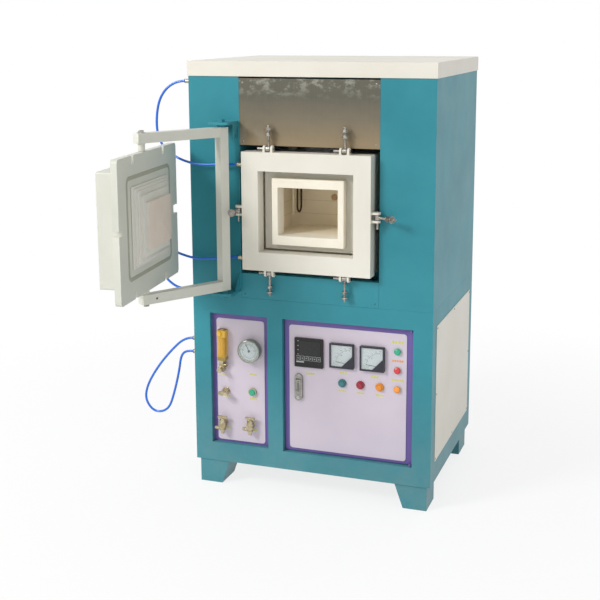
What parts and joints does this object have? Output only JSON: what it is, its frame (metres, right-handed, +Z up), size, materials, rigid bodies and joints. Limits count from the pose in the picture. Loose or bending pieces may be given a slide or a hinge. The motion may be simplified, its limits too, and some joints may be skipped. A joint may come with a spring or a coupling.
{
  "type": "atmosphere sintering furnace",
  "caption": "Floor-standing box furnace with a teal cabinet, a yoke-hung door clamped by swing bolts, a gas panel and a hinged control door.",
  "frame": {"origin": "on the floor under the middle of the cabinet", "axes": "+X to the right seen from the front, +Y to the back, +Z up"},
  "size_m": [1.01, 1.1548, 1.4],
  "materials": {
    "teal_paint": "satin powder coat",
    "cream_paint": "satin",
    "white_paint": "satin",
    "stainless": "brushed",
    "bright_steel": "turned",
    "purple_paint": "satin",
    "faceplate_grey": "satin",
    "fibre_white": "rough fibre board",
    "collar_cream": "rough refractory",
    "plug_pink": "rough refractory",
    "element_dark": "rough",
    "gasket_grey": "matte",
    "black_plastic": "fine grain",
    "meter_cream": "moulded",
    "needle_black": "matte",
    "clear_acrylic": "polished",
    "float_dark": "polished",
    "brass_nickel": "plated",
    "green_cap": "moulded",
    "red_cap": "moulded",
    "orange_cap": "moulded",
    "lamp_lens": "translucent",
    "blue_hose": "satin",
    "unit_grey": "satin"
  },
  "bodies": {
    "cabinet": {"base_cabinet": "teal_paint", "upper_cabinet": "teal_paint", "top_cover": "cream_paint", "steel_front_plate": "stainless", "lower_front_plate": "teal_paint", "cover_panels": "cream_paint", "feet": "teal_paint", "furnace_vessel": "white_paint", "bolt_pins": "bright_steel", "mouth_fibre_frame": "fibre_white", "chamber_collar": "collar_cream", "fibre_lining": "collar_cream", "hearth_plate": "collar_cream", "heating_elements": "element_dark", "thermocouple": "element_dark", "vessel_rails": "teal_paint", "hinge_brackets": "teal_paint", "gas_panel": "purple_paint", "gas_faceplate": "faceplate_grey", "flowmeter_body": "clear_acrylic", "gauge_case": "bright_steel", "gas_valves": "brass_nickel", "power_unit": "unit_grey", "hose_fittings": "brass_nickel", "upper_hose": "blue_hose", "middle_hose": "blue_hose", "loop_hose": "blue_hose"},
    "yoke": {"swing_yoke": "white_paint", "door_pivot_pins": "bright_steel"},
    "door": {"door_plate": "white_paint", "door_gasket": "gasket_grey", "door_casing": "white_paint", "door_plug": "plug_pink"},
    "top_left_bolt": {"top_left_bolt": "bright_steel"},
    "top_right_bolt": {"top_right_bolt": "bright_steel"},
    "low_left_bolt": {"low_left_bolt": "bright_steel"},
    "low_right_bolt": {"low_right_bolt": "bright_steel"},
    "left_bolt": {"left_bolt": "bright_steel"},
    "right_bolt": {"right_bolt": "bright_steel"},
    "flow_float": {"flowmeter_float": "float_dark"},
    "flow_knob": {"flowmeter_knob": "bright_steel"},
    "gauge_hand": {"gauge_needle": "needle_black"},
    "needle_valve": {"needle_valve_knob": "brass_nickel"},
    "inlet_handle": {"inlet_valve_handle": "brass_nickel"},
    "outlet_handle": {"outlet_valve_handle": "brass_nickel"},
    "gas_push": {"gas_button": "green_cap"},
    "control_leaf": {"control_door": "purple_paint", "control_faceplate": "faceplate_grey", "temperature_controller": "black_plastic", "panel_meters": "meter_cream", "indicator_lamps": "lamp_lens", "button_mounts": "bright_steel", "lock_body": "bright_steel"},
    "current_hand": {"current_needle": "needle_black"},
    "voltage_hand": {"voltage_needle": "needle_black"},
    "green_push": {"green_button": "green_cap"},
    "red_push": {"red_button": "red_cap"},
    "orange_push": {"orange_button": "orange_cap"},
    "lock_lever": {"lock_handle": "bright_steel"},
    "lock_push": {"lock_button": "black_plastic"}
  },
  "joints": [
    {"name": "arm_swing", "type": "hinge", "parent": "cabinet", "child": "yoke", "pos_m": [-0.265, -0.363, 0.9355], "axis": [0, 0, 1], "range_deg": [0, 123.6]},
    {"name": "door_pivot", "type": "hinge", "parent": "yoke", "child": "door", "pos_m": [-0.41656, -0.60554, 0.9355], "axis": [0, 0, 1], "range_deg": [-39.9, 0]},
    {"name": "top_left_bolt_swing", "type": "hinge", "parent": "cabinet", "child": "top_left_bolt", "pos_m": [-0.124, -0.326, 1.133], "axis": [1, 0, 0], "range_deg": [0, 90]},
    {"name": "top_right_bolt_swing", "type": "hinge", "parent": "cabinet", "child": "top_right_bolt", "pos_m": [0.124, -0.326, 1.133], "axis": [1, 0, 0], "range_deg": [0, 90]},
    {"name": "low_left_bolt_swing", "type": "hinge", "parent": "cabinet", "child": "low_left_bolt", "pos_m": [-0.124, -0.326, 0.738], "axis": [-1, 0, 0], "range_deg": [0, 90]},
    {"name": "low_right_bolt_swing", "type": "hinge", "parent": "cabinet", "child": "low_right_bolt", "pos_m": [0.124, -0.326, 0.738], "axis": [-1, 0, 0], "range_deg": [0, 90]},
    {"name": "left_bolt_swing", "type": "hinge", "parent": "cabinet", "child": "left_bolt", "pos_m": [-0.227, -0.326, 0.9355], "axis": [0, 0, -1], "range_deg": [0, 7]},
    {"name": "right_bolt_swing", "type": "hinge", "parent": "cabinet", "child": "right_bolt", "pos_m": [0.227, -0.326, 0.9355], "axis": [0, 0, -1], "range_deg": [-20, 63]},
    {"name": "flow_float_rise", "type": "slide", "parent": "cabinet", "child": "flow_float", "axis": [0, 0, 1], "range_m": [0, 0.06]},
    {"name": "flow_knob_turn", "type": "hinge", "parent": "cabinet", "child": "flow_knob", "pos_m": [-0.304, -0.3125, 0.401], "axis": [0, -1, 0], "range_deg": [0, 720]},
    {"name": "gauge_hand_turn", "type": "hinge", "parent": "cabinet", "child": "gauge_hand", "pos_m": [-0.204, -0.3135, 0.471], "axis": [0, 1, 0], "range_deg": [-110, 160]},
    {"name": "needle_valve_turn", "type": "hinge", "parent": "cabinet", "child": "needle_valve", "pos_m": [-0.295, -0.3145, 0.322], "axis": [0, -1, 0], "range_deg": [0, 720]},
    {"name": "inlet_handle_turn", "type": "hinge", "parent": "cabinet", "child": "inlet_handle", "pos_m": [-0.302, -0.3125, 0.23], "axis": [0, 0, -1], "range_deg": [0, 90]},
    {"name": "outlet_handle_turn", "type": "hinge", "parent": "cabinet", "child": "outlet_handle", "pos_m": [-0.204, -0.3125, 0.236], "axis": [0, 0, -1], "range_deg": [0, 90]},
    {"name": "gas_push_in", "type": "slide", "parent": "cabinet", "child": "gas_push", "axis": [0, 1, 0], "range_m": [0, 0.004], "stiffness_N_per_m": 400},
    {"name": "control_leaf_swing", "type": "hinge", "parent": "cabinet", "child": "control_leaf", "pos_m": [0.332, -0.301, 0.364], "axis": [0, 0, 1], "range_deg": [0, 90]},
    {"name": "current_hand_turn", "type": "hinge", "parent": "control_leaf", "child": "current_hand", "pos_m": [0.1325, -0.299, 0.455], "axis": [0, 1, 0], "range_deg": [0, 82]},
    {"name": "voltage_hand_turn", "type": "hinge", "parent": "control_leaf", "child": "voltage_hand", "pos_m": [0.2325, -0.299, 0.455], "axis": [0, 1, 0], "range_deg": [0, 82]},
    {"name": "green_push_in", "type": "slide", "parent": "control_leaf", "child": "green_push", "axis": [0, 1, 0], "range_m": [0, 0.004], "stiffness_N_per_m": 400},
    {"name": "red_push_in", "type": "slide", "parent": "control_leaf", "child": "red_push", "axis": [0, 1, 0], "range_m": [0, 0.004], "stiffness_N_per_m": 400},
    {"name": "orange_push_in", "type": "slide", "parent": "control_leaf", "child": "orange_push", "axis": [0, 1, 0], "range_m": [0, 0.004], "stiffness_N_per_m": 400},
    {"name": "lock_lever_lift", "type": "hinge", "parent": "control_leaf", "child": "lock_lever", "pos_m": [-0.0395, -0.298, 0.3855], "axis": [-1, 0, 0], "range_deg": [0, 60]},
    {"name": "lock_push_in", "type": "slide", "parent": "control_leaf", "child": "lock_push", "axis": [0, 1, 0], "range_m": [0, 0.001], "stiffness_N_per_m": 400}
  ],
  "couplings": [
    {"joint": "door_pivot", "follows": "arm_swing", "ratio": -0.3212}
  ]
}
